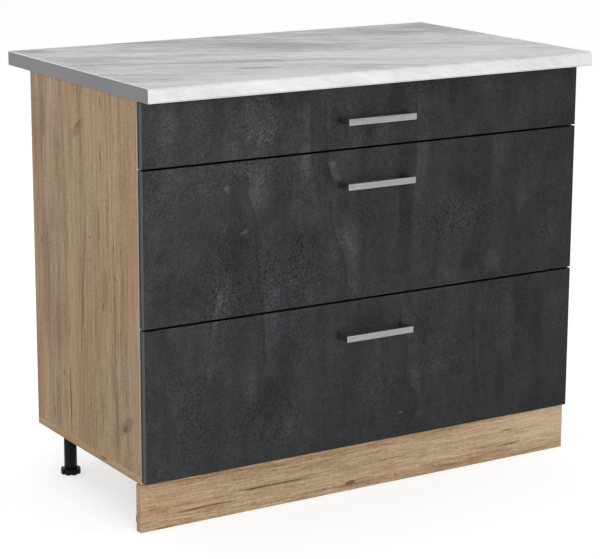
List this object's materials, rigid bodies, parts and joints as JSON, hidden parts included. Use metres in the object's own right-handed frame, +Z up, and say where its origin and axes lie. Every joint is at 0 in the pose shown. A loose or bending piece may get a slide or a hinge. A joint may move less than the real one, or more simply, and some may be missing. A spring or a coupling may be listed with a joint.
{
  "type": "base cabinet with drawers",
  "caption": "Kitchen base cabinet with one low and two deep full-width drawers, bow handles, a worktop with a rounded front edge, a plinth board and levelling legs.",
  "frame": {"origin": "on the floor, under the middle of the worktop", "axes": "+X to the right as seen from the front, +Y towards the back, +Z up; the drawers open towards -Y"},
  "size_m": [1.008, 0.6, 0.848],
  "materials": {
    "worktop_laminate": "pale grey marble laminate on chipboard, satin",
    "worktop_edge": "plain grey edging, matt",
    "oak_board": "oak decor on chipboard, fine matt grain",
    "plinth_oak": "lighter oak decor, horizontal grain",
    "concrete_front": "dark concrete decor on chipboard, matt, cloudy upright streaks",
    "white_board": "white foil on board, matt",
    "handle_metal": "satin",
    "runner_steel": "white powder coat",
    "zinc_steel": "bright zinc plate",
    "roller_nylon": "white nylon",
    "black_plastic": "black moulded plastic"
  },
  "bodies": {
    "carcass": {"back_board": "white_board", "bottom_panel": "oak_board", "cabinet_runners_bottom": "runner_steel", "cabinet_runners_middle": "runner_steel", "cabinet_runners_top": "runner_steel", "leg_sockets": "black_plastic", "leg_tubes": "black_plastic", "plinth_board": "plinth_oak", "plinth_clips": "black_plastic", "side_panel_left": "oak_board", "side_panel_right": "oak_board", "top_rail_front": "oak_board", "top_rail_rear": "oak_board", "worktop": "worktop_laminate", "worktop_brackets": "zinc_steel", "worktop_end_left": "worktop_edge", "worktop_end_right": "worktop_edge"},
    "drawer_bottom": {"drawer_back_bottom": "white_board", "drawer_base_bottom": "white_board", "drawer_runners_bottom": "runner_steel", "drawer_side_left_bottom": "white_board", "drawer_side_right_bottom": "white_board", "front_bottom": "concrete_front", "front_brackets_bottom": "zinc_steel", "handle_bottom": "handle_metal"},
    "front_rollers_bottom": {"front_rollers_bottom": "roller_nylon"},
    "rear_rollers_bottom": {"rear_rollers_bottom": "roller_nylon"},
    "drawer_middle": {"drawer_back_middle": "white_board", "drawer_base_middle": "white_board", "drawer_runners_middle": "runner_steel", "drawer_side_left_middle": "white_board", "drawer_side_right_middle": "white_board", "front_brackets_middle": "zinc_steel", "front_middle": "concrete_front", "handle_middle": "handle_metal"},
    "front_rollers_middle": {"front_rollers_middle": "roller_nylon"},
    "rear_rollers_middle": {"rear_rollers_middle": "roller_nylon"},
    "drawer_top": {"drawer_back_top": "white_board", "drawer_base_top": "white_board", "drawer_runners_top": "runner_steel", "drawer_side_left_top": "white_board", "drawer_side_right_top": "white_board", "front_brackets_top": "zinc_steel", "front_top": "concrete_front", "handle_top": "handle_metal"},
    "front_rollers_top": {"front_rollers_top": "roller_nylon"},
    "rear_rollers_top": {"rear_rollers_top": "roller_nylon"},
    "foot_front_left": {"foot_front_left": "black_plastic"},
    "foot_front_right": {"foot_front_right": "black_plastic"},
    "foot_rear_left": {"foot_rear_left": "black_plastic"},
    "foot_rear_right": {"foot_rear_right": "black_plastic"}
  },
  "joints": [
    {"name": "drawer_bottom_slide", "type": "slide", "parent": "carcass", "child": "drawer_bottom", "axis": [0, -1, 0], "range_m": [0, 0.3]},
    {"name": "front_rollers_bottom_turn", "type": "hinge", "parent": "carcass", "child": "front_rollers_bottom", "pos_m": [-0.47775, -0.227, 0.1337], "axis": [1, 0, 0], "continuous": true},
    {"name": "rear_rollers_bottom_turn", "type": "hinge", "parent": "drawer_bottom", "child": "rear_rollers_bottom", "pos_m": [-0.47775, 0.141, 0.1313], "axis": [1, 0, 0], "continuous": true},
    {"name": "drawer_middle_slide", "type": "slide", "parent": "carcass", "child": "drawer_middle", "axis": [0, -1, 0], "range_m": [0, 0.3]},
    {"name": "front_rollers_middle_turn", "type": "hinge", "parent": "carcass", "child": "front_rollers_middle", "pos_m": [-0.47775, -0.227, 0.4322], "axis": [1, 0, 0], "continuous": true},
    {"name": "rear_rollers_middle_turn", "type": "hinge", "parent": "drawer_middle", "child": "rear_rollers_middle", "pos_m": [-0.47775, 0.141, 0.4298], "axis": [1, 0, 0], "continuous": true},
    {"name": "drawer_top_slide", "type": "slide", "parent": "carcass", "child": "drawer_top", "axis": [0, -1, 0], "range_m": [0, 0.3]},
    {"name": "front_rollers_top_turn", "type": "hinge", "parent": "carcass", "child": "front_rollers_top", "pos_m": [-0.47775, -0.227, 0.7307], "axis": [1, 0, 0], "continuous": true},
    {"name": "rear_rollers_top_turn", "type": "hinge", "parent": "drawer_top", "child": "rear_rollers_top", "pos_m": [-0.47775, 0.141, 0.7283], "axis": [1, 0, 0], "continuous": true},
    {"name": "foot_front_left_screw", "type": "slide", "parent": "carcass", "child": "foot_front_left", "axis": [0, 0, -1], "range_m": [0, 0.02]},
    {"name": "foot_front_right_screw", "type": "slide", "parent": "carcass", "child": "foot_front_right", "axis": [0, 0, -1], "range_m": [0, 0.02]},
    {"name": "foot_rear_left_screw", "type": "slide", "parent": "carcass", "child": "foot_rear_left", "axis": [0, 0, -1], "range_m": [0, 0.02]},
    {"name": "foot_rear_right_screw", "type": "slide", "parent": "carcass", "child": "foot_rear_right", "axis": [0, 0, -1], "range_m": [0, 0.02]}
  ],
  "couplings": [
    {"joint": "front_rollers_bottom_turn", "follows": "drawer_bottom_slide", "rad_per_m": 100},
    {"joint": "rear_rollers_bottom_turn", "follows": "drawer_bottom_slide", "rad_per_m": 100},
    {"joint": "front_rollers_middle_turn", "follows": "drawer_middle_slide", "rad_per_m": 100},
    {"joint": "rear_rollers_middle_turn", "follows": "drawer_middle_slide", "rad_per_m": 100},
    {"joint": "front_rollers_top_turn", "follows": "drawer_top_slide", "rad_per_m": 100},
    {"joint": "rear_rollers_top_turn", "follows": "drawer_top_slide", "rad_per_m": 100}
  ]
}
